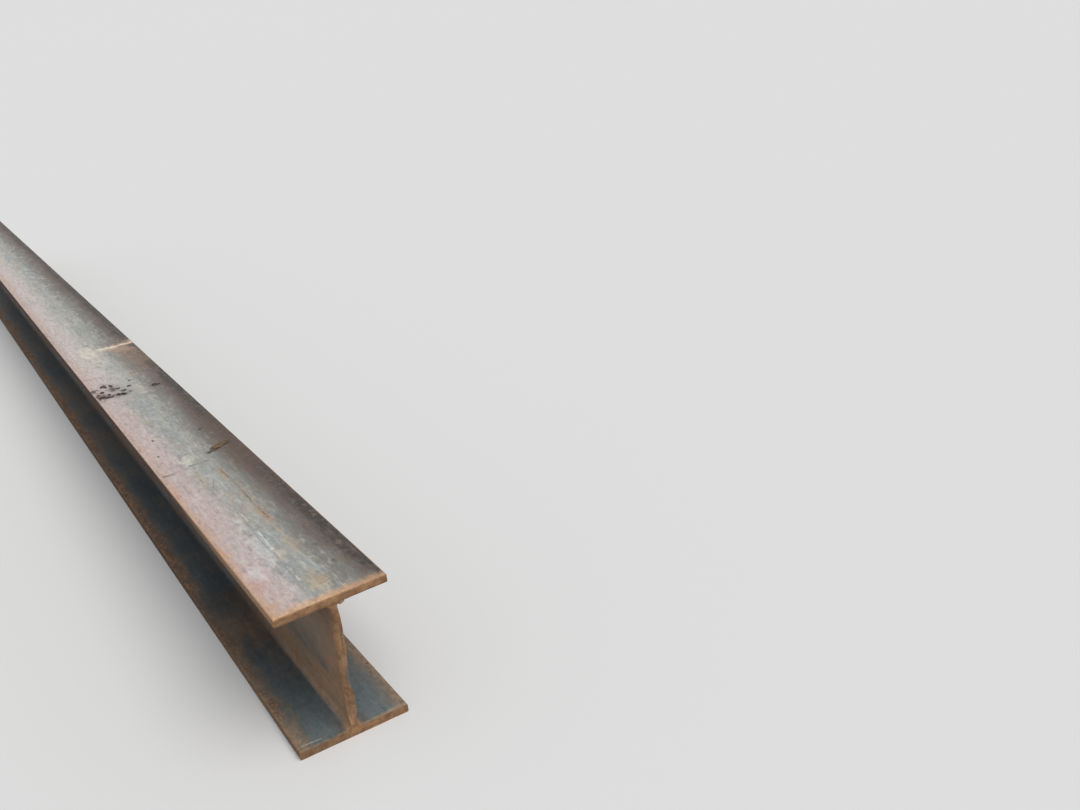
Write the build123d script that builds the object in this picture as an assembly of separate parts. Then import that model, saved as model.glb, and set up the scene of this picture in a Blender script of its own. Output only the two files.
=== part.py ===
from build123d import *
import os

# A hot-rolled wide-flange steel beam, 14 inch by 10 inch class, lying on its bottom flange.
# Millimetres. The beam runs along X, its web stands in the XZ plane and +Z is up.
# The origin is on the underside, at mid-length and mid-width.

# Rolled section
section_depth = 360.0
flange_width = 256.0
flange_thickness = 19.9
web_thickness = 11.4
root_radius = 15.0
flange_tip_radius = 2.5

# Stock length, cut square with a torch at both ends
beam_length = 6000.0
torch_edge_radius = 4.0

mid_depth = section_depth / 2
half_web = web_thickness / 2
half_clear_height = section_depth / 2 - flange_thickness
flange_centre = (section_depth - flange_thickness) / 2
same_place = 0.001


def is_root(corner):
    """True at the four corners where the web meets a flange."""
    beside_web = abs(abs(corner.X) - half_web) < same_place
    inside_flange = abs(abs(corner.Y) - half_clear_height) < same_place
    return beside_web and inside_flange


def rolled_section():
    """The I outline in the YZ plane, with its foot on Z = 0."""
    blank_flange = Rectangle(flange_width, flange_thickness)
    flange = fillet(blank_flange.vertices(), flange_tip_radius)
    web = Rectangle(web_thickness, 2 * flange_centre)
    outline = web + Pos(0, flange_centre) * flange + Pos(0, -flange_centre) * flange
    rounded_outline = fillet(outline.vertices().filter_by(is_root), root_radius)
    return Plane.YZ * Pos(0, mid_depth) * rounded_outline


def side_view():
    """The beam from the side: a long rectangle whose upper corners the torch has melted round."""
    blank = Pos(0, mid_depth) * Rectangle(beam_length, section_depth)
    upper_corners = blank.vertices().sort_by(Axis.Y)[-2:]
    return Plane.XZ * fillet(upper_corners, torch_edge_radius)


rolled_bar = extrude(rolled_section(), beam_length / 2, both=True)
torch_cut = extrude(side_view(), flange_width, both=True)
i_beam = rolled_bar & torch_cut

os.makedirs("parts", exist_ok=True)
export_step(i_beam, "parts/i_beam.step")
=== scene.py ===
import math
import bpy
from mathutils import Euler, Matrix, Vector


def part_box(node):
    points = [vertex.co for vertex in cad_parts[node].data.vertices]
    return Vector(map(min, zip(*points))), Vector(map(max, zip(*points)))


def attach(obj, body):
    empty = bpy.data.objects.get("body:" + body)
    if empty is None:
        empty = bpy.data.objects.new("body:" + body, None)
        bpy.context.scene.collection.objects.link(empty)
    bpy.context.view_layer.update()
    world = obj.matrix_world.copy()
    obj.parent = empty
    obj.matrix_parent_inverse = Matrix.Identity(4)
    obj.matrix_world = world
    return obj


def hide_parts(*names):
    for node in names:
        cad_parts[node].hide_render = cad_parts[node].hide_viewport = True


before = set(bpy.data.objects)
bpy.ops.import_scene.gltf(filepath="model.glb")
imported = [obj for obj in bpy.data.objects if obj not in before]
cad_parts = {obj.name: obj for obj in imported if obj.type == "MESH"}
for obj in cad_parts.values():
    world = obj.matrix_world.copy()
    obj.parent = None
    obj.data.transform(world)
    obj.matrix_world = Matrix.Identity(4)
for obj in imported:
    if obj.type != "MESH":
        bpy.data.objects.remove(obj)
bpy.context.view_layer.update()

# Sizes of the rolled section in metres, the outer ones from the frame
lowest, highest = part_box("i_beam")
half_length = highest.x
half_width = highest.y
depth = highest.z
flange_thickness = 0.0199
half_web = 0.0057
root_radius = 0.015
tip_radius = 0.0025
root_edge = half_web + root_radius
tip_edge = half_width - tip_radius

# What the torch and the handling did to it
torch_edge_radius = 0.004
out_of_square = 0.00325
web_bevel = 0.018
web_lip = 0.0064
raggedness = 0.0011
knock_depth = 0.0016

# Dried mud on the top flange: distances from the near end and from the middle, and half sizes
mud_along = (1.56, 1.78)
mud_across = (-0.119, 0.09)
mud_ridge = ((1.622, -0.058), (0.016, 0.034))
mud_at_edge = ((1.635, -0.107), (0.03, 0.016))
mud_clods = (
    ((1.746, -0.08), (0.018, 0.011)),
    ((1.7, -0.059), (0.024, 0.01)),
    ((1.657, -0.037), (0.012, 0.007)),
    ((1.717, -0.117), (0.013, 0.007)),
    ((1.63, 0.064), (0.014, 0.014)),
    ((1.749, 0.0045), (0.005, 0.003)),
)
mud_patches = (mud_ridge, mud_at_edge, *mud_clods)
mud_sprinkling = ((1.68, -0.07), (0.09, 0.06))

# A flake of bark on the top flange: its place, its lift, its turns in radians and its half sizes
flake_place = (0.953, 0.064)
flake_lift = 0.0008
flake_lean = 0.03
flake_turn = 0.55
flake_reach = (0.0105, 0.04, 0.0018)

# The camera that took the photograph: its place, its turns in degrees, and its lens and film in millimetres
camera_place = (4.7093, -0.5578, 1.4588)
camera_turn = (67.683, 4.274, 55.393)
camera_lens = 32.83
camera_sensor = 36.0
camera_farthest = 400

# The floor and the light: colours as seen, colours of the light thrown on the beam, and turns in degrees
floor_reach = 150
floor_seen = (0.74, 0.735, 0.725, 1.0)
floor_thrown = (0.3, 0.29, 0.27, 1.0)
dome_seen = (0.7275, 0.7303, 0.7281, 1.0)
dome_thrown = (0.4, 0.42, 0.45, 1.0)
lamp_strength = 2.1
lamp_spread = 50
lamp_turn = (-8, 28, 0)
lamp_colour = (1.0, 0.98, 0.95)


def colour(red, green, blue):
    """A colour as seen on screen, 0 to 255, turned into the linear values that a shader takes."""
    linear = [((c / 255 + 0.055) / 1.055) ** 2.4 for c in (red, green, blue)]
    return (*linear, 1.0)


def add_object(name, data):
    """A new object in the scene."""
    added = bpy.data.objects.new(name, data)
    bpy.context.scene.collection.objects.link(added)
    return added


class Amount:
    """A number or vector on its way through a node tree; sums and products add the nodes that do them."""

    def __init__(self, nodes, socket):
        self.nodes = nodes
        self.socket = socket

    def __add__(self, other):
        return self.nodes.math("ADD", self, other)

    def __radd__(self, other):
        return self.nodes.math("ADD", other, self)

    def __sub__(self, other):
        return self.nodes.math("SUBTRACT", self, other)

    def __rsub__(self, other):
        return self.nodes.math("SUBTRACT", other, self)

    def __mul__(self, other):
        return self.nodes.math("MULTIPLY", self, other)

    def __rmul__(self, other):
        return self.nodes.math("MULTIPLY", other, self)

    def __truediv__(self, other):
        return self.nodes.math("DIVIDE", self, other)


class Nodes:
    """Writes a node tree: each call adds one node and gives back what comes out of it."""

    def __init__(self, tree):
        self.tree = tree

    def add(self, kind, inputs=None, **settings):
        node = self.tree.nodes.new(kind)
        for name, value in settings.items():
            setattr(node, name, value)
        for name, value in (inputs or {}).items():
            self.plug(node.inputs[name], value)
        return node

    def plug(self, socket, value):
        if isinstance(value, Amount):
            self.tree.links.new(value.socket, socket)
        else:
            socket.default_value = value

    def take(self, kind, output=0, inputs=None, **settings):
        return Amount(self, self.add(kind, inputs, **settings).outputs[output])

    def math(self, operation, *values):
        return self.take("ShaderNodeMath", inputs=dict(enumerate(values)), operation=operation)

    def smallest(self, a, b):
        return self.math("MINIMUM", a, b)

    def largest(self, a, b):
        return self.math("MAXIMUM", a, b)

    def size_of(self, value):
        return self.math("ABSOLUTE", value)

    def root(self, value):
        return self.math("SQRT", value)

    def rise(self, value, start, end, low=0.0, high=1.0):
        """Goes smoothly from low at start to high at end."""
        inputs = {0: value, 1: start, 2: end, 3: low, 4: high}
        return self.take("ShaderNodeMapRange", inputs=inputs, interpolation_type="SMOOTHSTEP")

    def vector(self, x, y, z):
        return self.take("ShaderNodeCombineXYZ", inputs={0: x, 1: y, 2: z})

    def parts(self, vector):
        node = self.add("ShaderNodeSeparateXYZ", {0: vector})
        return [Amount(self, node.outputs[i]) for i in range(3)]

    def noise(self, vector, scale, detail=3.0, roughness=0.55, distortion=0.0):
        inputs = {"Vector": vector, "Scale": scale, "Detail": detail, "Roughness": roughness,
                  "Distortion": distortion}
        return self.take("ShaderNodeTexNoise", inputs=inputs)

    def streaks(self, x, y, z, detail, roughness, distortion=0.0):
        """Noise stretched by what each coordinate was multiplied by."""
        return self.noise(self.vector(x, y, z), 1.0, detail, roughness, distortion)

    def tint(self, share, under, over):
        """Lays one colour over another by that share."""
        inputs = {0: share, 6: under, 7: over}
        return self.take("ShaderNodeMix", 2, inputs, data_type="RGBA")

    def shade(self, shown, amount):
        """Multiplies a colour by a number."""
        return self.take("ShaderNodeVectorMath", inputs={0: shown, "Scale": amount}, operation="SCALE")

    def join(self, *parts):
        """Joins pieces of geometry into one."""
        node = self.add("GeometryNodeJoinGeometry")
        for part in parts:
            self.tree.links.new(part.socket, node.inputs[0])
        return Amount(self, node.outputs[0])

    def chance(self, low, high, seed):
        """A random number for each point."""
        return self.take("FunctionNodeRandomValue", 1, {2: low, 3: high, 8: seed}, data_type="FLOAT")


# Geometry trees

def new_geometry_tree(name, sizes):
    """An empty geometry tree with a named input for each size, and what its inputs give."""
    tree = bpy.data.node_groups.new(name, "GeometryNodeTree")
    tree.interface.new_socket("Geometry", in_out="INPUT", socket_type="NodeSocketGeometry")
    tree.interface.new_socket("Geometry", in_out="OUTPUT", socket_type="NodeSocketGeometry")
    for size, value in sizes.items():
        kind = "NodeSocketInt" if isinstance(value, int) else "NodeSocketFloat"
        tree.interface.new_socket(size, in_out="INPUT", socket_type=kind)
    nodes = Nodes(tree)
    entry = nodes.add("NodeGroupInput")
    start = {socket.name: Amount(nodes, socket) for socket in entry.outputs if socket.name}
    return nodes, start


def end_geometry_tree(nodes, geometry, finishes):
    """Realizes instances and sets the finishes: pairs of a selection, None for all, and a material."""
    geometry = nodes.take("GeometryNodeRealizeInstances", inputs={"Geometry": geometry})
    for selection, material in finishes:
        inputs = {"Geometry": geometry, "Material": material}
        if selection is not None:
            inputs["Selection"] = selection
        geometry = nodes.take("GeometryNodeSetMaterial", inputs=inputs)
    exit_node = nodes.add("NodeGroupOutput")
    nodes.plug(exit_node.inputs[0], geometry)


def grow(name, mesh, nodes, sizes, smooth_angle=40):
    """Runs a geometry tree on a mesh and gives a plain mesh object of the result."""
    source = add_object(name + "_source", mesh)
    modifier = source.modifiers.new("tree", "NODES")
    modifier.node_group = nodes.tree
    for item in nodes.tree.interface.items_tree:
        if item.in_out == "INPUT" and item.name in sizes:
            modifier[item.identifier] = sizes[item.name]
    depsgraph = bpy.context.evaluated_depsgraph_get()
    plain = bpy.data.meshes.new_from_object(source.evaluated_get(depsgraph), depsgraph=depsgraph)
    plain.name = name
    source.modifiers.remove(modifier)
    bpy.data.objects.remove(source)
    plain.shade_smooth()
    plain.set_sharp_from_angle(angle=math.radians(smooth_angle))
    return add_object(name, plain)


def mark(nodes, geometry, name, value):
    """Keeps a yes or no on each face under that name."""
    inputs = {"Geometry": geometry, "Name": name, "Value": value}
    return nodes.take("GeometryNodeStoreNamedAttribute", inputs=inputs, data_type="BOOLEAN", domain="FACE")


def marked(nodes, name):
    return nodes.take("GeometryNodeInputNamedAttribute", inputs={"Name": name}, data_type="BOOLEAN")


# The section, as a flat plate that closes the ends and whose outline is drawn along the beam

def spaced(start, end, cells):
    """Evenly spaced numbers from start to end, both among them."""
    return [start + (end - start) * i / cells for i in range(cells + 1)]


def overhang_stations(cells=16, evenness=0.6):
    """Distances from the middle for the columns of one flange overhang, closer together near its tip."""
    span = tip_edge - root_edge
    return [tip_edge - span * (evenness * s + (1.0 - evenness) * s * s) for s in spaced(0.0, 1.0, cells)]


def flange_columns():
    """The columns of points that fill the upper flange, from its left tip to its right one, each from its
    outer face to its inner one. Heights are measured from the middle of the section."""
    outer = depth / 2
    inner = outer - flange_thickness
    fractions = (0.0, 0.07, 0.15, 0.3, 0.5, 0.7, 0.85, 0.93, 1.0)

    def column(top, bottom):
        return [(top[0] + (bottom[0] - top[0]) * f, top[1] + (bottom[1] - top[1]) * f) for f in fractions]

    def tip(side):
        corner = tip_radius * (1 - math.sqrt(0.5))
        rounded = [(tip_edge, outer), (half_width - corner, outer - corner)]
        straight = [(half_width, h) for h in spaced(outer - tip_radius, inner + tip_radius, 4)]
        rounded_under = [(half_width - corner, inner + corner), (tip_edge, inner)]
        return [(side * across, height) for across, height in rounded + straight + rounded_under]

    def overhang(side):
        return [column((side * a, outer), (side * a, inner)) for a in overhang_stations()[1:-1]]

    quarter = [math.radians(a) for a in spaced(90, 0, 6)]
    left_root = [(-root_edge + root_radius * math.cos(a), inner - root_radius + root_radius * math.sin(a))
                 for a in quarter]
    web_top = [(across, inner - root_radius) for across in spaced(-half_web, half_web, 4)]
    right_root = [(-across, height) for across, height in reversed(left_root)]
    under = left_root + web_top[1:-1] + right_root
    over = spaced(-root_edge, root_edge, len(under) - 1)
    middle = [column((across, outer), point) for across, point in zip(over, under)]
    return [tip(-1)] + overhang(-1) + middle + list(reversed(overhang(1))) + [tip(1)]


def section_plate(web_cells=32):
    """A flat mesh of the whole section, made of four-sided faces, lying in the XY plane."""
    points = []
    numbers = {}

    def number(across, height):
        key = (round(across, 6), round(height, 6))
        if key not in numbers:
            numbers[key] = len(points)
            points.append((across, height, 0.0))
        return numbers[key]

    def fill(columns):
        grid = [[number(*point) for point in column] for column in columns]
        return [(a[i], a[i + 1], b[i + 1], b[i]) for a, b in zip(grid, grid[1:]) for i in range(len(a) - 1)]

    upper = flange_columns()
    lower = [[(across, -height) for across, height in reversed(column)] for column in upper]
    web_top = depth / 2 - flange_thickness - root_radius
    web = [[(across, height) for height in spaced(web_top, -web_top, web_cells)]
           for across in spaced(-half_web, half_web, 4)]
    mesh = bpy.data.meshes.new("section_plate")
    mesh.from_pydata(points, [], fill(upper) + fill(lower) + fill(web))
    return mesh


# The rolled bar

def cut_bar(nodes, start):
    """The straight bar: the plate's outline drawn along X, with the plate itself closing both ends."""
    neighbours = nodes.take("GeometryNodeInputMeshEdgeNeighbors")
    on_outline = nodes.math("LESS_THAN", neighbours, 1.5)
    inputs = {"Mesh": start["Geometry"], "Selection": on_outline}
    outline = nodes.take("GeometryNodeMeshToCurve", inputs=inputs)

    line = nodes.take("GeometryNodeCurvePrimitiveLine", inputs={"Start": (-1, 0, 0), "End": (1, 0, 0)})
    count = 2 * start["Stations"] + 1
    line = nodes.take("GeometryNodeResampleCurve", inputs={"Curve": line, "Count": count})
    station = nodes.take("GeometryNodeSplineParameter", "Index")
    from_middle = station - start["Stations"]
    from_end = start["Stations"] - nodes.size_of(from_middle)
    growth = nodes.math("POWER", start["Growth"], from_end) - 1.0
    whole = nodes.math("POWER", start["Growth"], start["Stations"]) - 1.0
    along = nodes.math("SIGN", from_middle) * start["Half Length"] * (1.0 - growth / whole)
    placed = nodes.vector(along, 0.0, start["Depth"] * 0.5)
    line = nodes.take("GeometryNodeSetPosition", inputs={"Geometry": line, "Position": placed})
    line = nodes.take("GeometryNodeSetCurveNormal", inputs={"Curve": line}, mode="Z_UP")
    bar = nodes.take("GeometryNodeCurveToMesh", inputs={"Curve": line, "Profile Curve": outline})

    stand_up = (math.radians(90), 0.0, math.radians(90))
    ends = []
    for direction in (1.0, -1.0):
        place = nodes.vector(direction * start["Half Length"], 0.0, start["Depth"] * 0.5)
        inputs = {"Geometry": start["Geometry"], "Translation": place, "Rotation": stand_up}
        ends.append(nodes.take("GeometryNodeTransform", inputs=inputs))
    ends[1] = nodes.take("GeometryNodeFlipFaces", inputs={"Mesh": ends[1]})
    cuts = mark(nodes, nodes.join(*ends), "torch_cut", True)
    bar = nodes.take("GeometryNodeFlipFaces", inputs={"Mesh": bar})
    bar = mark(nodes, bar, "torch_cut", False)
    inputs = {"Geometry": nodes.join(bar, cuts), "Distance": 0.00002}
    return nodes.take("GeometryNodeMergeByDistance", inputs=inputs)


def set_back(start, across, up):
    """How far the torch cut stands back from a square one; across and up go from -1 to 1 over the end."""
    return start["Out Of Square"] * (1.0 + across * up)


def rough_ends(nodes, bar, start):
    """Rounds the melted upper edges, sets the torch cuts out of square and roughens what the torch and
    the handling left rough. Everything moves inwards, apart from the lip beside the web."""
    web_foot = (0.028, 0.045)
    web_head = (0.336, 0.318)
    slant_fades = 0.15
    bevel_fades = 0.05
    ragged_fades = 0.02
    lip_fades = 0.0045
    tip_band = 0.007
    x, y, z = nodes.parts(nodes.take("GeometryNodeInputPosition"))
    side = nodes.math("SIGN", x)
    from_end = start["Half Length"] - nodes.size_of(x)
    from_top = start["Depth"] - z
    across = y / start["Half Width"]
    up = 2.0 * z / start["Depth"] - 1.0

    radius = start["Torch Edge Radius"]
    a = nodes.largest(radius - from_end, 0.0)
    b = nodes.largest(radius - from_top, 0.0)
    reach = nodes.root(a * a + b * b) + 0.0000001
    spare = (1.0 - nodes.largest(a, b) / reach) * nodes.math("GREATER_THAN", nodes.smallest(a, b), 0.0)

    in_web = nodes.rise(z, *web_foot) * nodes.rise(z, *web_head)
    spot = nodes.vector(side * 3.0, y, z)
    fine = nodes.noise(spot, 55.0, 4.0, 0.6) - 0.5
    coarse = nodes.noise(spot, 14.0, 2.0) - 0.5
    over_web = nodes.smallest(nodes.largest(0.5 + y / (2.0 * start["Half Web"]), 0.0), 1.0)
    bevel = start["Web Bevel"] * in_web * nodes.rise(z, 0.335, 0.29) * (1.0 - over_web)
    ragged = start["Raggedness"] * (fine * 1.6 + coarse * 1.4) * (1.0 + in_web)
    cut_back = set_back(start, across, up) * nodes.rise(from_end, slant_fades, 0.0)
    cut_back = cut_back + bevel * nodes.rise(from_end, bevel_fades, 0.0)
    cut_back = cut_back + ragged * nodes.rise(from_end, ragged_fades, 0.0)
    cut_back = nodes.largest(cut_back, 0.0)

    bite = nodes.noise(nodes.vector(0.0, side * 4.0, z), 85.0, 4.0, 0.7)
    lip = start["Web Lip"] * nodes.rise(z, 0.04, 0.09, 0.5, 1.0) * nodes.rise(z, 0.33, 0.3, 0.6, 1.0)
    lip = lip * nodes.rise(nodes.size_of(z - 0.16), 0.015, 0.06, 0.47, 1.0)
    lip = lip * nodes.rise(bite, 0.25, 0.6, nodes.rise(z, 0.15, 0.22, 0.25, 0.8), 1.0)
    lip = lip * nodes.rise(from_end, lip_fades, 0.0)
    lip = lip * nodes.rise(z, 0.035, 0.05) * nodes.rise(z, 0.337, 0.325)
    lip = lip * nodes.rise(over_web, 0.5, 1.0)

    on_tip = nodes.rise(nodes.size_of(y), start["Half Width"] - tip_band, start["Half Width"])
    knock = nodes.noise(nodes.vector(x, across * 3.0, up * 2.0), 17.0, 3.0, 0.6)
    nick = nodes.noise(nodes.vector(x, across * 5.0, up * 4.0), 60.0, 2.0, 0.5)
    dent = nodes.rise(knock, 0.58, 0.8) + 0.5 * nodes.rise(nick, 0.62, 0.85) + 0.1 * knock
    inwards = start["Knock Depth"] * dent * on_tip * nodes.math("SIGN", y)

    back = 0.0 - side * (a * spare + cut_back)
    shift = nodes.vector(back, lip - inwards, 0.0 - b * spare)
    return nodes.take("GeometryNodeSetPosition", inputs={"Geometry": bar, "Offset": shift})


def make_beam(finishes):
    """The rolled bar with its torch-cut ends, its faces sorted by the finish that each one wears."""
    sizes = {
        "Half Length": half_length,
        "Half Width": half_width,
        "Depth": depth,
        "Half Web": half_web,
        "Stations": 166,
        "Growth": 1.0218,
        "Torch Edge Radius": torch_edge_radius,
        "Out Of Square": out_of_square,
        "Web Bevel": web_bevel,
        "Web Lip": web_lip,
        "Raggedness": raggedness,
        "Knock Depth": knock_depth,
    }
    nodes, start = new_geometry_tree("rolled_bar", sizes)
    bar = cut_bar(nodes, start)
    _, y, z = nodes.parts(nodes.take("GeometryNodeInputPosition"))
    wall = 1.0 - marked(nodes, "torch_cut")
    on_top = nodes.math("GREATER_THAN", z, start["Depth"] - 0.0001) * wall
    on_tip = nodes.math("GREATER_THAN", nodes.size_of(y), start["Half Width"] - tip_radius) * wall
    bar = mark(nodes, bar, "top_face", on_top)
    bar = mark(nodes, bar, "flange_tip", on_tip)
    bar = rough_ends(nodes, bar, start)
    channel, top, tips, cuts = finishes
    sorted_faces = [
        (None, channel),
        (marked(nodes, "top_face"), top),
        (marked(nodes, "flange_tip"), tips),
        (marked(nodes, "torch_cut"), cuts),
    ]
    end_geometry_tree(nodes, bar, sorted_faces)
    return grow("i_beam_steel", section_plate(), nodes, sizes)


# Finishes

def new_finish(name):
    """A new material, its node writer, its shader and the place on the object."""
    material = bpy.data.materials.new(name)
    material.use_nodes = True
    nodes = Nodes(material.node_tree)
    shader = material.node_tree.nodes["Principled BSDF"]
    return material, nodes, shader, nodes.take("ShaderNodeTexCoord", "Object")


def coat(nodes, shader, shown, roughness, height, relief):
    """Plugs a colour, a roughness and a relief of that height in metres into the shader."""
    nodes.plug(shader.inputs["Base Color"], shown)
    nodes.plug(shader.inputs["Roughness"], roughness)
    bump = nodes.take("ShaderNodeBump", inputs={"Height": height, "Distance": relief})
    nodes.plug(shader.inputs["Normal"], bump)


def patch(nodes, along, across, centre, reach, ragged):
    """An irregular patch round a point; centre and reach are along the beam and across it."""
    a = (along - centre[0]) / reach[0]
    b = (across - centre[1]) / reach[1]
    return nodes.rise(nodes.root(a * a + b * b) + ragged, 1.3, 0.25)


def scratch(nodes, along, across, start, end, width, ragged):
    """A scratch between two points along and across the beam, its edges broken up by the ragged amount."""
    run = (end[0] - start[0], end[1] - start[1])
    a = along - start[0]
    b = across - start[1]
    share = (a * run[0] + b * run[1]) / (run[0] ** 2 + run[1] ** 2)
    share = nodes.smallest(nodes.largest(share, 0.0), 1.0)
    miss_a = a - share * run[0]
    miss_b = b - share * run[1]
    miss = nodes.root(miss_a * miss_a + miss_b * miss_b)
    return nodes.rise(miss + ragged * width * 5.0, width, width * 0.2)


def slanted(nodes, place, angle, seed, scale):
    """The place turned by that angle to the beam in degrees, moved by the seed and then scaled."""
    turn = (0.0, 0.0, math.radians(angle))
    inputs = {"Vector": place, "Location": (seed, seed, 0.0), "Rotation": turn, "Scale": scale}
    return nodes.take("ShaderNodeMapping", inputs=inputs)


def hairlines(nodes, place, angle, seed):
    """Fine straight scratches that all run at that angle to the beam, as a share from 0 to 1."""
    spot = slanted(nodes, place, angle, seed, (9.0, 330.0, 1.0))
    return nodes.rise(nodes.noise(spot, 1.0, 3.0, 0.6), 0.6, 0.74)


def strokes(nodes, place, angle, seed):
    """Broad smudged strokes at that angle to the beam, thick in some places and missing in others."""
    spot = slanted(nodes, place, angle, seed, (14.0, 110.0, 1.0))
    where = nodes.noise(place, 7.0, 2.0)
    return nodes.rise(nodes.noise(spot, 1.0, 4.0, 0.6) + 0.6 * (where - 0.5), 0.54, 0.74)


class Paint:
    """A finish's colour, built up one layer over another."""

    def __init__(self, nodes, shown):
        self.nodes = nodes
        self.shown = shown

    def lay(self, share, over):
        """Lays a colour over what is there, by that share."""
        self.shown = self.nodes.tint(share, self.shown, over)

    def over(self, share, red, green, blue):
        """Lays a colour as seen on screen over what is there."""
        self.lay(share, colour(red, green, blue))


class Marks(Paint):
    """Paint with marks of handling, a few painted shadows and a painted streak of light, each put by its
    distances from the near end and from the middle.
    """

    def __init__(self, nodes, shown, along, across, ragged):
        super().__init__(nodes, shown)
        self.along = along
        self.across = across
        self.ragged = ragged

    def patch(self, centre, reach, share, over):
        """An irregular patch of a colour."""
        found = patch(self.nodes, self.along, self.across, centre, reach, self.ragged * 3.4)
        self.over(share * found, *over)

    def scratch(self, route, width, share, over, broken=1.0):
        """A scratch from point to point, more broken up the larger that number is."""
        for start, end in zip(route, route[1:]):
            found = scratch(self.nodes, self.along, self.across, start, end, width, self.ragged * broken)
            self.over(share * found, *over)


def mark_near_end(marks):
    """Scuffs, smears and creases on the first half metre of the upper face."""
    marks.patch((0.198, -0.09), (0.05, 0.022), 0.5, (214, 209, 206))
    marks.patch((0.31, -0.045), (0.12, 0.03), 0.5, (198, 200, 200))
    marks.patch((0.148, -0.103), (0.045, 0.02), 0.32, (188, 136, 130))
    marks.patch((0.25, -0.017), (0.05, 0.012), 0.35, (184, 162, 132))
    marks.scratch([(0.5, -0.0235), (0.39, -0.021)], 0.0024, 0.4, (212, 210, 200), 0.6)
    marks.scratch([(0.395, -0.021), (0.275, -0.0255)], 0.0032, 0.6, (218, 216, 206), 0.6)
    marks.scratch([(0.43, -0.03), (0.29, -0.033)], 0.0028, 0.55, (122, 118, 110), 0.6)
    marks.scratch([(0.28, -0.037), (0.2, -0.045)], 0.0026, 0.5, (210, 207, 190), 0.6)
    marks.scratch([(0.26, -0.0285), (0.1, -0.032)], 0.003, 0.5, (130, 120, 106), 0.6)
    marks.scratch([(0.17, -0.0235), (0.105, -0.0275)], 0.003, 0.6, (212, 212, 204), 0.6)
    marks.patch((0.077, -0.002), (0.045, 0.03), 0.5, (180, 156, 118))
    marks.patch((0.262, 0.022), (0.05, 0.018), 0.3, (164, 136, 108))
    marks.patch((0.08, 0.106), (0.011, 0.0065), 0.85, (48, 42, 39))
    for spot in ((0.133, 0.064), (0.229, 0.06)):
        marks.patch(spot, (0.01, 0.006), 0.6, (74, 66, 60))
    marks.scratch([(0.065, 0.004), (0.071, 0.038)], 0.0033, 0.5, (146, 114, 82))
    marks.scratch([(0.079, 0.001), (0.082, 0.024)], 0.0033, 0.5, (146, 114, 82))
    marks.scratch([(0.093, 0.003), (0.09, 0.031)], 0.0033, 0.5, (146, 114, 82))


def mark_middle(marks):
    """A rust run, wipes and spots up to a metre and a half from the near end, with painted shade along the
    right margin and a painted shadow beside the bark flake.
    """
    marks.patch((0.62, 0.02), (0.28, 0.014), 0.3, (146, 122, 98))
    marks.patch((0.775, 0.018), (0.05, 0.01), 0.45, (168, 138, 106))
    marks.patch((0.44, 0.021), (0.08, 0.013), 0.45, (168, 130, 96))
    rust_run = [(0.806, 0.0185), (0.664, 0.0235), (0.542, 0.0205), (0.43, 0.0225)]
    marks.scratch(rust_run, 0.0023, 0.65, (104, 80, 62), 1.2)
    marks.scratch([(0.652, -0.043), (0.74, -0.014)], 0.0024, 0.45, (108, 101, 96), 0.6)
    marks.patch((0.915, -0.031), (0.055, 0.022), 0.65, (208, 205, 190))
    marks.scratch([(0.852, -0.11), (0.874, 0.008)], 0.005, 0.22, (104, 92, 86), 1.4)
    marks.scratch([(0.854, -0.112), (0.848, -0.091)], 0.0065, 0.6, (84, 74, 70), 0.7)
    marks.scratch([(0.872, -0.037), (0.874, 0.008)], 0.008, 0.55, (92, 84, 78), 0.7)
    marks.scratch([(0.96, -0.04), (0.962, 0.012)], 0.007, 0.35, (110, 106, 98), 0.7)
    for spot in ((1.0, -0.09), (1.131, -0.072)):
        marks.patch(spot, (0.0075, 0.0032), 0.85, (56, 48, 44))
    # Partly brown rust haze and partly painted shade along the right margin
    marks.patch((0.92, 0.106), (0.4, 0.06), 0.7, (84, 64, 51))
    marks.scratch([(1.115, 0.059), (1.13, 0.069)], 0.008, 0.85, (58, 50, 45), 0.5)
    # Painted shadow of the bark flake
    marks.scratch([(0.924, 0.027), (0.96, 0.098)], 0.014, 0.85, (48, 38, 32), 0.5)


def mark_far_end(marks):
    """Dirt round the dried mud, and a pale line further on, a painted streak of light, with a brown stain
    before it.
    """
    marks.patch(*mud_sprinkling, 0.25, (112, 96, 90))
    for centre, reach in mud_patches:
        marks.patch(centre, (reach[0] * 1.3, reach[1] * 1.3), 0.75, (56, 46, 42))
    marks.scratch([(1.868, -0.125), (1.853, -0.068)], 0.009, 0.4, (136, 106, 96))
    marks.patch((2.03, 0.09), (0.24, 0.06), 0.65, (126, 103, 86))
    marks.patch((2.125, -0.02), (0.09, 0.035), 0.4, (212, 198, 180))
    marks.patch((2.19, -0.042), (0.1, 0.028), 0.65, (218, 204, 193))
    marks.patch((2.15, 0.068), (0.07, 0.055), 0.55, (172, 148, 127))
    marks.patch((2.283, 0.025), (0.05, 0.014), 0.35, (116, 116, 112))
    marks.patch((2.5, 0.016), (0.16, 0.013), 0.35, (128, 132, 124))
    # Painted streak of light: a pale line across the whole face, warmer at its right end
    marks.scratch([(2.184, -0.046), (2.2, 0.0), (2.193, 0.05)], 0.026, 0.4, (204, 194, 176), 0.5)
    marks.scratch([(2.201, 0.045), (2.214, 0.128)], 0.036, 0.65, (186, 160, 140), 0.5)
    marks.scratch([(2.21, -0.005), (2.203, 0.045), (2.207, 0.085)], 0.014, 0.7, (224, 208, 190), 0.5)
    marks.scratch([(2.207, 0.085), (2.214, 0.129)], 0.016, 0.8, (222, 198, 180), 0.5)


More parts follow.
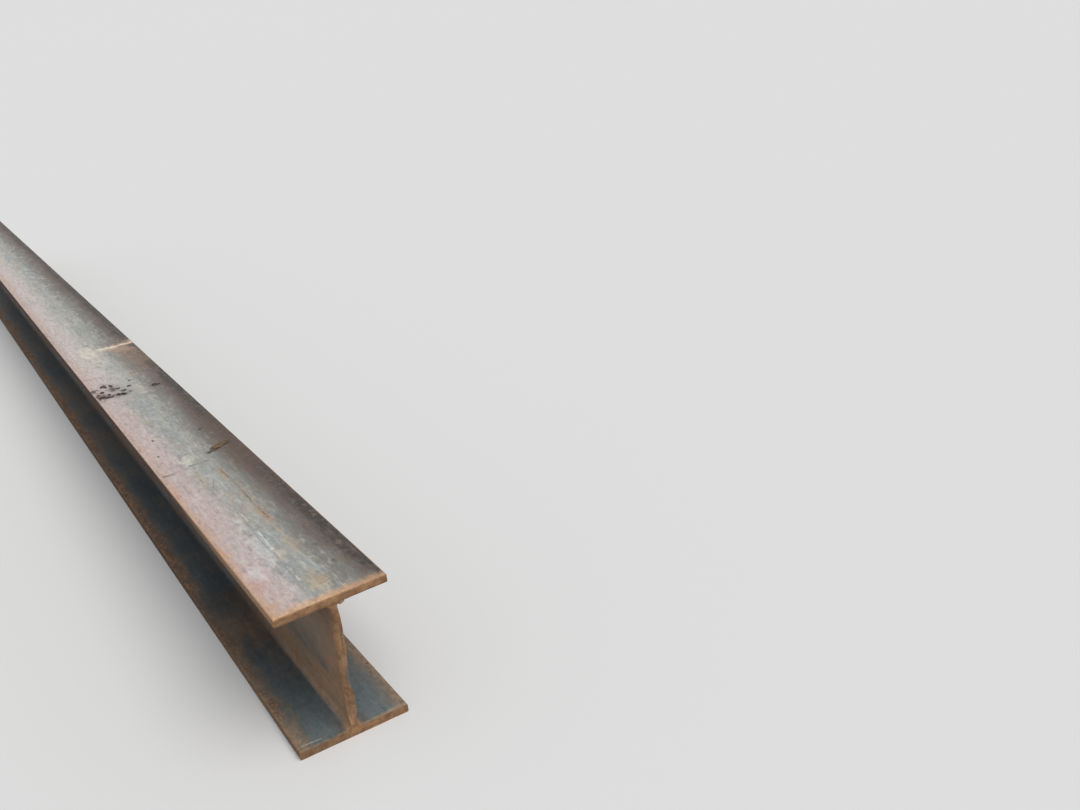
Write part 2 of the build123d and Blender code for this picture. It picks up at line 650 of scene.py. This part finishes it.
def make_top_finish():
    """The upper face: mill scale gone blue-grey and mauve in the sun, with rusty margins; the right margin
    also carries painted shade.
    """
    material, nodes, shader, place = new_finish("weathered_top")
    x, y, _ = nodes.parts(place)
    along = half_length - x
    wander = nodes.streaks(x * 1.9, y * 8.0, 0.0, 5.0, 0.65) - 0.5
    across = y + wander * 0.06
    grain = nodes.streaks(x * 9.0, y * 80.0, 0.0, 4.0, 0.65)
    cloud = nodes.streaks(x * 3.0, y * 14.0, 4.0, 5.0, 0.6, 0.3)
    ochre = nodes.streaks(x * 6.0, y * 20.0, 12.0, 5.0, 0.65)
    blotch = nodes.streaks(x * 14.0, y * 30.0, 8.0, 6.0, 0.66)
    mottle = nodes.streaks(x * 42.0, y * 54.0, 3.0, 5.0, 0.68)
    speckle = nodes.noise(place, 230.0, 4.0, 0.72)
    scuff = nodes.streaks(x * 42.0, y * 115.0, 6.0, 3.0, 0.75)
    ragged = blotch - 0.5
    fringe = ragged + 0.8 * (mottle - 0.5)
    # Where the face is bleached pale; it falls away towards the right edge, which keeps the painted shade
    # there dark
    bleached_outside_shade = nodes.rise(across + fringe * 0.05, 0.09, 0.02, 0.1, 1.0)

    # Mauve on the left, blue-grey in the middle and darker towards the right, partly for whole, unbleached
    # scale and partly as painted shade
    scale = nodes.tint(nodes.rise(cloud, 0.38, 0.64), colour(156, 156, 147), colour(143, 150, 150))
    paint = Marks(nodes, scale, along, y, fringe)
    paint.over(0.35 * nodes.rise(ochre, 0.52, 0.68), 170, 148, 120)
    mauve = nodes.rise(across + fringe * 0.08, -0.02, -0.08)
    mauve = mauve * nodes.rise(cloud + 0.5 * ragged, 0.3, 0.55, 0.62, 1.0)
    paint.over(mauve, 190, 171, 166)
    # Painted shade: these three strips darken the right side partly for brown, unbleached scale and partly
    # for shade from neighbouring beams, darkest at the very edge
    paint.over(nodes.rise(across + fringe * 0.05, 0.008, 0.055), 114, 113, 107)
    right = across - nodes.rise(along, 0.32, 0.04, 0.0, 0.024)
    paint.over(nodes.rise(right + fringe * 0.05, 0.05, 0.088), 90, 77, 70)
    edge = across - nodes.rise(along, 0.18, 0.03, 0.0, 0.02)
    paint.over(nodes.rise(edge + fringe * 0.03, 0.084, 0.11), 44, 37, 33)
    narrowed = across + nodes.rise(along, 2.0, 2.5, 0.0, 0.022)
    pale_band = nodes.rise(along, 1.4, 1.9) * nodes.rise(narrowed + fringe * 0.06, 0.03, -0.03)
    pale_band = pale_band * nodes.rise(across, -0.11, -0.085)
    paint.over(0.4 * pale_band, 204, 198, 190)

    # Grime, haze, dust and fine scratches over all of it
    paint.over(0.5 * nodes.rise(mottle + 0.6 * ragged, 0.52, 0.72), 134, 114, 104)
    paint.over(0.45 * bleached_outside_shade * nodes.rise(mottle + 0.5 * ragged, 0.47, 0.28), 202, 197, 190)
    paint.over(0.3 * bleached_outside_shade * nodes.rise(blotch, 0.48, 0.3), 196, 192, 187)
    paint.over(0.25 * bleached_outside_shade * nodes.rise(grain, 0.5, 0.72), 206, 199, 193)
    paint.over(0.2 * nodes.rise(grain, 0.46, 0.3), 108, 97, 92)
    paint.over(0.5 * bleached_outside_shade * hairlines(nodes, place, 24.0, 1.0), 212, 206, 198)
    paint.over(0.35 * bleached_outside_shade * strokes(nodes, place, 38.0, 2.0), 212, 207, 202)
    paint.over(0.3 * strokes(nodes, place, -64.0, 7.0), 126, 108, 98)
    paint.over(0.4 * hairlines(nodes, place, -31.0, 5.0), 104, 90, 82)
    paint.over(0.35 * hairlines(nodes, place, 68.0, 9.0), 100, 86, 80)

    left_margin = nodes.rise(across + fringe * 0.06, -0.098, -0.122)
    orange = nodes.rise(along, 1.0, 0.65, 0.3, 0.9) * nodes.rise(cloud + ragged * 0.6, 0.3, 0.6, 0.6, 1.0)
    brushed = nodes.rise(strokes(nodes, place, -52.0, 3.0), 0.0, 0.6, 0.62, 1.0)
    paint.over(left_margin * orange * brushed, 198, 152, 116)
    rust_spots = nodes.rise(nodes.noise(place, 70.0, 5.0, 0.7) + 0.08 * left_margin, 0.6, 0.76)
    paint.over(0.5 * rust_spots, 146, 108, 80)

    mark_near_end(paint)
    mark_middle(paint)
    mark_far_end(paint)
    corner = patch(nodes, along, y, (0.02, -0.125), (0.075, 0.04), fringe * 3.4)
    paint.over(0.8 * corner * brushed, 188, 148, 114)

    # Rust that has run in from the cuts
    brushed_in = strokes(nodes, place, 52.0, 11.0)
    near_run = along + fringe * 0.018 - (grain - 0.5) * 0.03 + (brushed_in - 0.3) * 0.007
    rim = nodes.tint(nodes.rise(y, -0.05, 0.1), colour(204, 169, 138), colour(170, 138, 109))
    rim_rust = 0.55 * nodes.rise(mottle + 0.6 * (speckle - 0.5), 0.48, 0.66)
    rim = nodes.tint(rim_rust, rim, colour(152, 112, 80))
    rim = nodes.tint(0.4 * brushed_in, rim, colour(222, 192, 158))
    pinkish = nodes.rise(y, -0.06, -0.11, 0.0, 0.5) * nodes.rise(along, 0.007, 0.013)
    paint.lay(nodes.rise(near_run, 0.034, 0.008) * (1.0 - pinkish), rim)
    burnt = 0.6 * nodes.rise(along + fringe * 0.003, 0.005, 0.0015) * nodes.rise(y, -0.115, -0.085)
    paint.over(burnt, 140, 106, 78)
    far_run = half_length + x + fringe * 0.02 - (grain - 0.5) * 0.02
    paint.over(nodes.rise(far_run, 0.034, 0.008), 180, 144, 112)
    dusting = nodes.noise(place, 100.0, 5.0, 0.75)
    shown = nodes.shade(paint.shown, 0.32 + 0.36 * speckle + 0.16 * dusting + 0.84 * scuff)

    roughness = 0.42 + 0.25 * left_margin + 0.2 * blotch + 0.1 * grain
    height = 0.4 * speckle + 0.15 * grain + 0.45 * mottle
    coat(nodes, shader, shown, roughness, height, 0.0012)
    return material


def make_channel_finish():
    """The web, the insides of the flanges and the underside: dark mill scale under a film of brown rust."""
    material, nodes, shader, place = new_finish("mill_scale")
    x, y, z = nodes.parts(place)
    from_end = half_length - nodes.size_of(x)
    out = nodes.size_of(y)
    cloud = nodes.streaks(x * 3.5, y * 8.0, z * 9.0, 5.0, 0.6, 0.3)
    blotch = nodes.streaks(x * 11.0, y * 26.0, z * 26.0, 6.0, 0.66)
    drip = nodes.streaks(x * 60.0, y * 20.0, z * 5.0, 4.0, 0.6)
    grain = nodes.streaks(x * 5.0, y * 90.0, z * 90.0, 4.0, 0.6)
    scab = nodes.noise(place, 95.0, 5.0, 0.72)
    mottle = nodes.streaks(x * 30.0, y * 60.0, z * 60.0, 5.0, 0.7)
    speckle = nodes.noise(place, 240.0, 4.0, 0.72)
    scuff = nodes.streaks(x * 42.0, y * 110.0, z * 110.0, 3.0, 0.75)
    ragged = blotch - 0.5

    web = nodes.rise(out, 0.024, 0.012)
    foot = nodes.rise(z, 0.03, 0.022)
    steel = nodes.tint(nodes.rise(0.4 * grain + cloud, 0.55, 0.85), colour(60, 72, 79), colour(78, 84, 86))
    steel = nodes.tint(web * nodes.rise(from_end, 0.9, 0.2, 0.15, 0.85), steel, colour(93, 92, 86))
    # Painted light: the top of the bottom flange lighter and bluer towards the ends, where light comes in
    steel = nodes.tint(nodes.rise(from_end, 0.5, 0.02, 0.0, 0.68) * foot, steel, colour(98, 110, 112))
    dusty = nodes.rise(out + ragged * 0.02, 0.072, 0.108) * foot
    steel = nodes.tint(0.5 * dusty, steel, colour(104, 96, 84))

    film = 0.12 + 0.42 * web + 1.3 * (cloud - 0.5) + (0.9 - 0.4 * web) * ragged + 0.2 * (drip - 0.5) * web
    film = film + nodes.rise(from_end, 0.6, 0.0, 0.0, 0.25) * web
    shadowed = foot * nodes.rise(nodes.size_of(from_end - 0.6), 0.24, 0.1)
    film = film + 0.25 * shadowed - foot * nodes.rise(from_end, 0.3, 0.05, 0.0, 0.22)
    bluish = patch(nodes, from_end, z, (0.16, 0.17), (0.2, 0.1), ragged * 2.4)
    rusty = nodes.rise(film - 0.3 * bluish * web, 0.1, 0.75)
    brown = nodes.tint(nodes.rise(blotch + cloud, 0.85, 1.25), colour(100, 80, 65), colour(122, 92, 69))
    lit = nodes.rise(from_end, 0.9, 0.1) * nodes.rise(z, 0.33, 0.2, 0.3, 1.0)
    lit_brown = nodes.tint(nodes.rise(blotch, 0.4, 0.6), colour(170, 140, 113), colour(158, 126, 98))
    brown = nodes.tint(lit, brown, lit_brown)
    paint = Paint(nodes, nodes.tint(rusty, steel, brown))

    margin = nodes.rise(out + ragged * 0.045 + (cloud - 0.5) * 0.035 + (scab - 0.5) * 0.012, 0.088, 0.118)
    scabbed = nodes.rise(mottle + 0.5 * (scab - 0.5), 0.42, 0.6)
    crust = nodes.tint(scabbed, colour(96, 76, 61), colour(132, 101, 75))
    dried = nodes.rise(from_end, 0.65, 0.05, 0.0, 0.5) * nodes.rise(scab, 0.3, 0.56, 0.5, 1.0)
    crust = nodes.tint(dried, crust, colour(142, 131, 113))
    paint.over(0.35 * foot * nodes.rise(mottle + 0.4 * ragged, 0.5, 0.7), 118, 98, 80)
    paint.over(0.3 * nodes.rise(mottle - 0.4 * ragged, 0.48, 0.3), 52, 54, 56)
    thick = nodes.rise(cloud, 0.3, 0.5, 0.65, 1.0) * (1.0 - 0.4 * shadowed)
    paint.lay(margin * thick, crust)
    paint.over(0.3 * shadowed, 40, 36, 32)
    corner = nodes.rise(out, 0.045, 0.024) * nodes.rise(from_end, 0.11, 0.01) * foot
    paint.over(0.55 * corner, 88, 74, 63)
    band = from_end + ragged * 0.022 + (scab - 0.5) * 0.012
    paint.over(0.85 * nodes.rise(band, 0.013, 0.003), 150, 128, 104)
    paint.over(0.75 * web * nodes.rise(band, 0.045, 0.018), 150, 112, 80)
    bloom = nodes.rise(scab + 0.25 * ragged, 0.64, 0.78)
    paint.over(0.4 * bloom, 148, 104, 70)
    wire = scratch(nodes, half_length - x, y, (0.024, -0.118), (0.02, -0.072), 0.0014, ragged * 0.4) * foot
    paint.over(0.8 * wire, 190, 190, 182)
    shown = nodes.shade(paint.shown, 0.8 + 0.4 * speckle + (1.0 - 0.7 * web) * (scuff - 0.5))

    roughness = 0.4 + 0.3 * rusty + 0.15 * blotch + 0.1 * margin
    height = 0.35 * speckle + 0.2 * grain + 0.45 * scab
    coat(nodes, shader, shown, roughness, height, 0.0012)
    return material


def make_tip_finish():
    """The narrow edges of the flanges, rusty from handling, darker away from the cut ends partly from rust
    and partly as painted shade, with a painted highlight along the upper arris.
    """
    material, nodes, shader, place = new_finish("flange_tips")
    x, y, z = nodes.parts(place)
    from_end = half_length - nodes.size_of(x)
    blotch = nodes.streaks(x * 20.0, y * 20.0, z * 60.0, 6.0, 0.66)
    scab = nodes.noise(place, 95.0, 5.0, 0.72)
    speckle = nodes.noise(place, 230.0, 4.0, 0.72)
    # Light rust at the ends to dark brown further along: partly rust, partly painted shade
    bare = nodes.tint(nodes.rise(from_end, 0.0, 0.9), colour(184, 150, 118), colour(64, 43, 33))
    paint = Paint(nodes, bare)
    paint.over(0.7 * nodes.rise(blotch, 0.52, 0.68), 56, 43, 37)
    orange = nodes.rise(blotch, 0.47, 0.32) * nodes.rise(from_end, 1.2, 0.4, 0.2, 0.75)
    paint.over(orange, 150, 106, 70)
    low = nodes.rise(z, 0.03, 0.022)
    caked = nodes.tint(nodes.rise(scab, 0.4, 0.6), colour(84, 66, 53), colour(132, 100, 72))
    paint.lay(0.7 * low, caked)
    # Painted highlight along the upper arris, in a rusty orange, fading away from the ends
    upper_edge = nodes.rise(z + (scab - 0.5) * 0.003, depth - 0.0035, depth - 0.001)
    paint.over(nodes.rise(from_end, 1.4, 0.4, 0.05, 0.6) * upper_edge, 180, 142, 112)
    shown = nodes.shade(paint.shown, 0.8 + 0.4 * speckle)
    shader.inputs["Specular IOR Level"].default_value = 0.25
    coat(nodes, shader, shown, 0.62 + 0.25 * blotch, 0.4 * speckle + 0.6 * scab, 0.0016)
    return material


def make_cut_finish():
    """The torch-cut ends: flash rust and grey scale over drag lines, bright along the melted upper edge."""
    material, nodes, shader, place = new_finish("torch_cut")
    x, y, z = nodes.parts(place)
    in_web = nodes.rise(z, 0.028, 0.042) * nodes.rise(z, 0.334, 0.32)
    in_web = in_web * nodes.rise(nodes.size_of(y), 0.022, 0.012)
    ripple = nodes.streaks(0.0, y * 420.0, z * 26.0, 3.0, 0.6)
    web_ripple = nodes.streaks(x * 30.0, y * 40.0, z * 420.0, 3.0, 0.6)
    drag = ripple * (1.0 - in_web) + web_ripple * in_web
    blotch = nodes.noise(place, 42.0, 6.0, 0.66)
    rust = nodes.noise(place, 110.0, 5.0, 0.75)
    layer = nodes.streaks(0.0, y * 12.0, z * 260.0, 3.0, 0.6)
    stripe = nodes.streaks(x * 20.0, y * 260.0, z * 22.0, 4.0, 0.6)
    speckle = nodes.noise(place, 260.0, 4.0, 0.72)
    flash_rust = nodes.tint(nodes.rise(blotch, 0.34, 0.64), colour(134, 98, 70), colour(180, 139, 101))
    paint = Paint(nodes, flash_rust)
    paint.over(0.6 * nodes.rise(rust, 0.5, 0.68), 172, 118, 74)
    paint.over(0.6 * nodes.rise(rust + 0.4 * (blotch - 0.5), 0.46, 0.3), 104, 82, 68)
    paint.over(0.22 * nodes.rise(drag, 0.52, 0.34), 98, 70, 50)
    paint.over(0.35 * (1.0 - in_web) * nodes.rise(layer, 0.5, 0.34), 110, 80, 58)
    paint.over(0.55 * in_web * nodes.rise(stripe, 0.48, 0.66), 192, 158, 126)
    melted = nodes.rise(z + (blotch - 0.5) * 0.004 + (rust - 0.5) * 0.003, depth - 0.006, depth - 0.001)
    bright = nodes.rise(rust + 0.5 * (blotch - 0.5), 0.36, 0.56, 0.25, 0.65)
    paint.over(bright * melted, 198, 154, 112)
    low = nodes.rise(z, 0.024, 0.019) * nodes.rise(y, 0.0, -0.05)
    paint.over(0.35 * low, 100, 84, 68)
    lower_lip = nodes.rise(nodes.size_of(z - (depth - flange_thickness)), 0.004, 0.0015)
    paint.over(0.35 * lower_lip, 84, 60, 44)
    chip_a = nodes.size_of(z - 0.15) / 0.032
    chip_b = nodes.size_of(y - 0.006) / 0.005
    chip = nodes.rise(nodes.root(chip_a * chip_a + chip_b * chip_b) + (speckle - 0.5) * 2.4, 1.15, 0.4)
    paint.over(0.7 * chip * nodes.rise(x, 0.0, 1.0), 112, 116, 118)
    shown = nodes.shade(paint.shown, 0.78 + 0.44 * speckle)
    height = 0.45 * drag + 0.25 * speckle + 0.3 * blotch + 0.3 * rust
    coat(nodes, shader, shown, 0.6 + 0.25 * blotch, height, 0.0018)
    return material


def make_crust_finish():
    """Lumps of loose rust and dried soil."""
    material, nodes, shader, place = new_finish("rust_crust")
    blotch = nodes.noise(place, 60.0, 4.0, 0.6)
    speckle = nodes.noise(place, 400.0, 4.0, 0.7)
    shown = nodes.tint(nodes.rise(blotch, 0.4, 0.62), colour(134, 103, 77), colour(98, 80, 64))
    shown = nodes.shade(shown, 0.75 + 0.5 * speckle)
    coat(nodes, shader, shown, 0.7 + 0.25 * blotch, speckle, 0.0012)
    return material


def make_slag_finish():
    """Beads of slag that the torch left, half scaled over and half rusted."""
    material, nodes, shader, place = new_finish("torch_slag")
    blotch = nodes.noise(place, 130.0, 4.0, 0.6)
    speckle = nodes.noise(place, 500.0, 4.0, 0.7)
    shown = nodes.tint(nodes.rise(blotch, 0.4, 0.6), colour(112, 88, 70), colour(186, 152, 122))
    coat(nodes, shader, shown, 0.5 + 0.3 * blotch, speckle, 0.0008)
    return material


def make_mud_finish():
    """Dark crumbs of dried mud."""
    material, nodes, shader, place = new_finish("dried_mud")
    blotch = nodes.noise(place, 90.0, 4.0, 0.6)
    shown = nodes.tint(nodes.rise(blotch, 0.4, 0.62), colour(42, 33, 30), colour(80, 64, 55))
    coat(nodes, shader, shown, 0.75 + 0.2 * blotch, blotch, 0.001)
    return material


def make_bark_finish():
    """A flake of bark, tan fibres between dark ones."""
    material, nodes, shader, place = new_finish("bark")
    inputs = {"Vector": place, "Rotation": (0.0, 0.0, -flake_turn), "Scale": (420.0, 30.0, 200.0)}
    fibres = nodes.noise(nodes.take("ShaderNodeMapping", inputs=inputs), 1.0, 4.0, 0.6)
    shown = nodes.tint(nodes.rise(fibres, 0.4, 0.6), colour(58, 44, 33), colour(134, 108, 74))
    coat(nodes, shader, shown, 0.85, fibres, 0.0015)
    return material


# Loose and molten bits

def scatter(nodes, count, spot):
    """That many points, each at its own spot."""
    return nodes.take("GeometryNodePoints", inputs={"Count": count, "Position": spot})


def thin_out(nodes, points, kept, seed):
    """Deletes points at random; kept is the chance that one stays."""
    bare = nodes.math("GREATER_THAN", nodes.chance(0.0, 1.0, seed), kept)
    inputs = {"Geometry": points, "Selection": bare}
    return nodes.take("GeometryNodeDeleteGeometry", inputs=inputs, domain="POINT")


def mostly_small(nodes, power, seed):
    """A random share from 0 to 1 for each point, the smaller the likelier."""
    return nodes.math("POWER", nodes.chance(0.0, 1.0, seed), power)


def lumps(nodes, points, size, flatness, seed, detail=2):
    """Puts a small lump on each point, each turned and sized differently."""
    ball = nodes.take("GeometryNodeMeshIcoSphere", inputs={"Radius": 1.0, "Subdivisions": detail})
    long = size * nodes.chance(0.7, 1.6, seed + 1)
    wide = size * nodes.chance(0.7, 1.1, seed + 2)
    turn = nodes.vector(0.0, 0.0, nodes.chance(0.0, 6.28, seed + 3))
    scale = nodes.vector(long, wide, size * flatness)
    inputs = {"Points": points, "Instance": ball, "Rotation": turn, "Scale": scale}
    return nodes.take("GeometryNodeInstanceOnPoints", inputs=inputs)


def dented(nodes, geometry, pitch, amount):
    """Pushes the points of lumps about by noise of that pitch."""
    geometry = nodes.take("GeometryNodeRealizeInstances", inputs={"Geometry": geometry})
    spot = nodes.take("GeometryNodeInputPosition")
    node = nodes.add("ShaderNodeTexNoise", {"Vector": spot, "Scale": pitch, "Detail": 2.0})
    red, green, blue = nodes.parts(Amount(nodes, node.outputs[1]))
    shift = nodes.vector((red - 0.5) * amount, (green - 0.5) * amount, (blue - 0.5) * amount)
    return nodes.take("GeometryNodeSetPosition", inputs={"Geometry": geometry, "Offset": shift})


def grow_lumps(name, nodes, sizes):
    """Runs a tree that needs no mesh to start from, and smooths over all but its sharpest edges."""
    return grow(name, bpy.data.meshes.new("nothing"), nodes, sizes, smooth_angle=60)


def make_crust(finish):
    """Rust and soil caked along the edges of the bottom flange, with a few larger clods near one end."""
    sizes = {
        "Half Length": half_length,
        "Half Width": half_width,
        "Height": flange_thickness,
        "Edge": 0.005,
        "Margin": 0.034,
        "Lumps": 5000,
        "Lump Least": 0.0011,
        "Lump Spread": 0.0044,
        "Clods": 22,
        "Clods From End": 0.2,
        "Clods Along": 0.06,
    }
    nodes, start = new_geometry_tree("crust", sizes)
    x = (nodes.chance(0.0, 2.0, 11) - 1.0) * (start["Half Length"] - 0.02)
    side = nodes.math("SIGN", nodes.chance(0.0, 2.0, 12) - 1.0)
    inset = nodes.chance(0.0, 1.0, 13)
    y = side * (start["Half Width"] - start["Edge"] - start["Margin"] * inset * inset)
    points = scatter(nodes, start["Lumps"], nodes.vector(x, y, start["Height"]))
    place_x, place_y, _ = nodes.parts(nodes.take("GeometryNodeInputPosition"))
    clump = nodes.streaks(place_x * 4.0, place_y * 20.0, 0.0, 4.0, 0.6)
    points = thin_out(nodes, points, nodes.rise(clump, 0.4, 0.66, 0.05, 0.85), 14)
    from_edge = start["Half Width"] - nodes.size_of(place_y)
    size = start["Lump Spread"] * mostly_small(nodes, 3.0, 15)
    size = start["Lump Least"] + size * nodes.rise(from_edge, 0.024, 0.008, 0.2, 1.0)
    grains = lumps(nodes, points, size, 0.5, 20, 1)

    apart = nodes.chance(-1.0, 1.0, 16) * nodes.chance(0.0, 1.0, 17)
    clod_x = start["Half Length"] - start["Clods From End"] + start["Clods Along"] * apart
    clod_y = 0.0 - start["Half Width"] + nodes.chance(0.006, 0.024, 18)
    points = scatter(nodes, start["Clods"], nodes.vector(clod_x, clod_y, start["Height"]))
    clods = lumps(nodes, points, nodes.chance(0.002, 0.007, 19), 0.5, 24, 3)
    crust = dented(nodes, nodes.join(grains, clods), 260.0, 0.0022)
    end_geometry_tree(nodes, crust, [(None, finish)])
    return grow_lumps("rust_crust", nodes, sizes)


def make_slag(finish):
    """Beads of slag along the torch cuts: under the top flange and down the far edge of the web."""
    sizes = {
        "Half Length": half_length,
        "Half Width": half_width,
        "Half Web": half_web,
        "Depth": depth,
        "Flange Thickness": flange_thickness,
        "Out Of Square": out_of_square,
        "Beads": 110,
        "Bead Least": 0.0008,
        "Bead Spread": 0.0016,
        "Tab Radius": 0.0055,
        "Tab From End": 0.0072,
        "Tab Aside": 0.019,
    }
    nodes, start = new_geometry_tree("slag", sizes)
    side = nodes.math("SIGN", nodes.chance(0.0, 2.0, 31) - 1.0)
    beside_web = nodes.math("GREATER_THAN", nodes.chance(0.0, 1.0, 32), 0.5)
    flange_y = nodes.chance(-1.0, 1.0, 33) * (start["Half Width"] - 0.006)
    web_z = nodes.chance(0.045, 0.32, 34)
    under = start["Depth"] - start["Flange Thickness"]
    y = flange_y + (start["Half Web"] + 0.0012 - flange_y) * beside_web
    z = under + (web_z - under) * beside_web
    back = set_back(start, y / start["Half Width"], 2.0 * z / start["Depth"] - 1.0)
    x = side * (start["Half Length"] - 0.0028 - back)
    points = scatter(nodes, start["Beads"], nodes.vector(x, y, z))
    size = start["Bead Least"] + start["Bead Spread"] * mostly_small(nodes, 2.0, 35)
    beads = dented(nodes, lumps(nodes, points, size, 0.9, 40), 400.0, 0.0012)

    middle = nodes.vector(start["Half Length"] - start["Tab From End"], start["Tab Aside"], under - 0.002)
    inputs = {"Radius": start["Tab Radius"], "Subdivisions": 4}
    ball = nodes.take("GeometryNodeMeshIcoSphere", inputs=inputs)
    inputs = {"Geometry": ball, "Translation": middle, "Scale": (0.6, 1.55, 1.05)}
    tab = dented(nodes, nodes.take("GeometryNodeTransform", inputs=inputs), 230.0, 0.004)
    end_geometry_tree(nodes, nodes.join(beads, tab), [(None, finish)])
    return grow_lumps("torch_slag", nodes, sizes)


def make_crumbs(mud, bark):
    """Dried mud left on the top flange, and a flake of bark."""
    sizes = {
        "Half Length": half_length,
        "Depth": depth,
        "Sunk": 0.0004,
        "Crumbs": 1500,
        "Crumb Least": 0.0016,
        "Crumb Spread": 0.0085,
        "Flake Lift": flake_lift,
    }
    nodes, start = new_geometry_tree("crumbs", sizes)
    along = start["Half Length"] - nodes.chance(*mud_along, 51)
    spot = nodes.vector(along, nodes.chance(*mud_across, 52), start["Depth"] - start["Sunk"])
    points = scatter(nodes, start["Crumbs"], spot)
    x, y, _ = nodes.parts(nodes.take("GeometryNodeInputPosition"))
    uneven = 3.0 * (nodes.noise(nodes.vector(x, y, 0.0), 50.0, 3.0, 0.6) - 0.5)
    kept = 0.16 * patch(nodes, start["Half Length"] - x, y, *mud_sprinkling, uneven)
    for centre, reach in mud_patches:
        kept = nodes.largest(kept, patch(nodes, start["Half Length"] - x, y, centre, reach, uneven))
    points = thin_out(nodes, points, kept, 53)
    size = start["Crumb Least"] + start["Crumb Spread"] * mostly_small(nodes, 4.0, 54)
    bits = lumps(nodes, points, size, 0.45, 60)

    ball = nodes.take("GeometryNodeMeshIcoSphere", inputs={"Radius": 1.0, "Subdivisions": 4})
    lifted = start["Depth"] + start["Flake Lift"]
    middle = nodes.vector(start["Half Length"] - flake_place[0], flake_place[1], lifted)
    turns = (flake_lean, 0.0, flake_turn)
    inputs = {"Geometry": ball, "Translation": middle, "Rotation": turns, "Scale": flake_reach}
    flake = nodes.take("GeometryNodeTransform", inputs=inputs)
    flake = mark(nodes, dented(nodes, flake, 60.0, 0.007), "bark", True)
    crumbs = dented(nodes, nodes.join(mark(nodes, bits, "bark", False), flake), 180.0, 0.0015)
    end_geometry_tree(nodes, crumbs, [(None, mud), (marked(nodes, "bark"), bark)])
    return grow_lumps("mud_crumbs", nodes, sizes)


# Camera, floor and light

def make_camera():
    lens = bpy.data.cameras.new("camera")
    lens.lens = camera_lens
    lens.sensor_width = camera_sensor
    lens.clip_end = camera_farthest
    camera = add_object("camera", lens)
    camera.location = camera_place
    camera.rotation_euler = Euler([math.radians(a) for a in camera_turn])
    bpy.context.scene.camera = camera


def seen(nodes):
    """1 where something is seen, straight, mirrored or through glass, and 0 for light that it throws."""
    path = nodes.add("ShaderNodeLightPath")
    kinds = ("Is Camera Ray", "Is Glossy Ray", "Is Transmission Ray")
    camera, glossy, through = [Amount(nodes, path.outputs[kind]) for kind in kinds]
    return nodes.largest(camera, nodes.largest(glossy, through))


def make_floor():
    """A pale floor, which throws less light back at the beam than it shows."""
    mesh = bpy.data.meshes.new("floor")
    corners = [(floor_reach * x, floor_reach * y, 0) for x, y in ((-1, -1), (1, -1), (1, 1), (-1, 1))]
    mesh.from_pydata(corners, [], [(0, 1, 2, 3)])
    floor = add_object("floor", mesh)
    material, nodes, shader, _ = new_finish("pale_floor")
    nodes.plug(shader.inputs["Base Color"], nodes.tint(seen(nodes), floor_thrown, floor_seen))
    shader.inputs["Roughness"].default_value = 1.0
    shader.inputs["Specular IOR Level"].default_value = 0.0
    mesh.materials.append(material)


def make_light():
    """A pale dome and one wide, soft lamp high on the near end's side."""
    world = bpy.data.worlds.new("studio")
    world.use_nodes = True
    nodes = Nodes(world.node_tree)
    background = world.node_tree.nodes["Background"]
    nodes.plug(background.inputs["Color"], nodes.tint(seen(nodes), dome_thrown, dome_seen))
    bpy.context.scene.world = world
    lamp = bpy.data.lights.new("soft_lamp", "SUN")
    lamp.energy = lamp_strength
    lamp.angle = math.radians(lamp_spread)
    lamp.color = lamp_colour
    light = add_object("soft_lamp", lamp)
    light.rotation_euler = Euler([math.radians(a) for a in lamp_turn])


make_camera()
make_floor()
make_light()

steel_finishes = (make_channel_finish(), make_top_finish(), make_tip_finish(), make_cut_finish())
beam = make_beam(steel_finishes)
pieces = [
    beam,
    make_crust(make_crust_finish()),
    make_slag(make_slag_finish()),
    make_crumbs(make_mud_finish(), make_bark_finish()),
]
for piece in pieces:
    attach(piece, "root")
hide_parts("i_beam")

bpy.context.scene.view_settings.view_transform = "Standard"
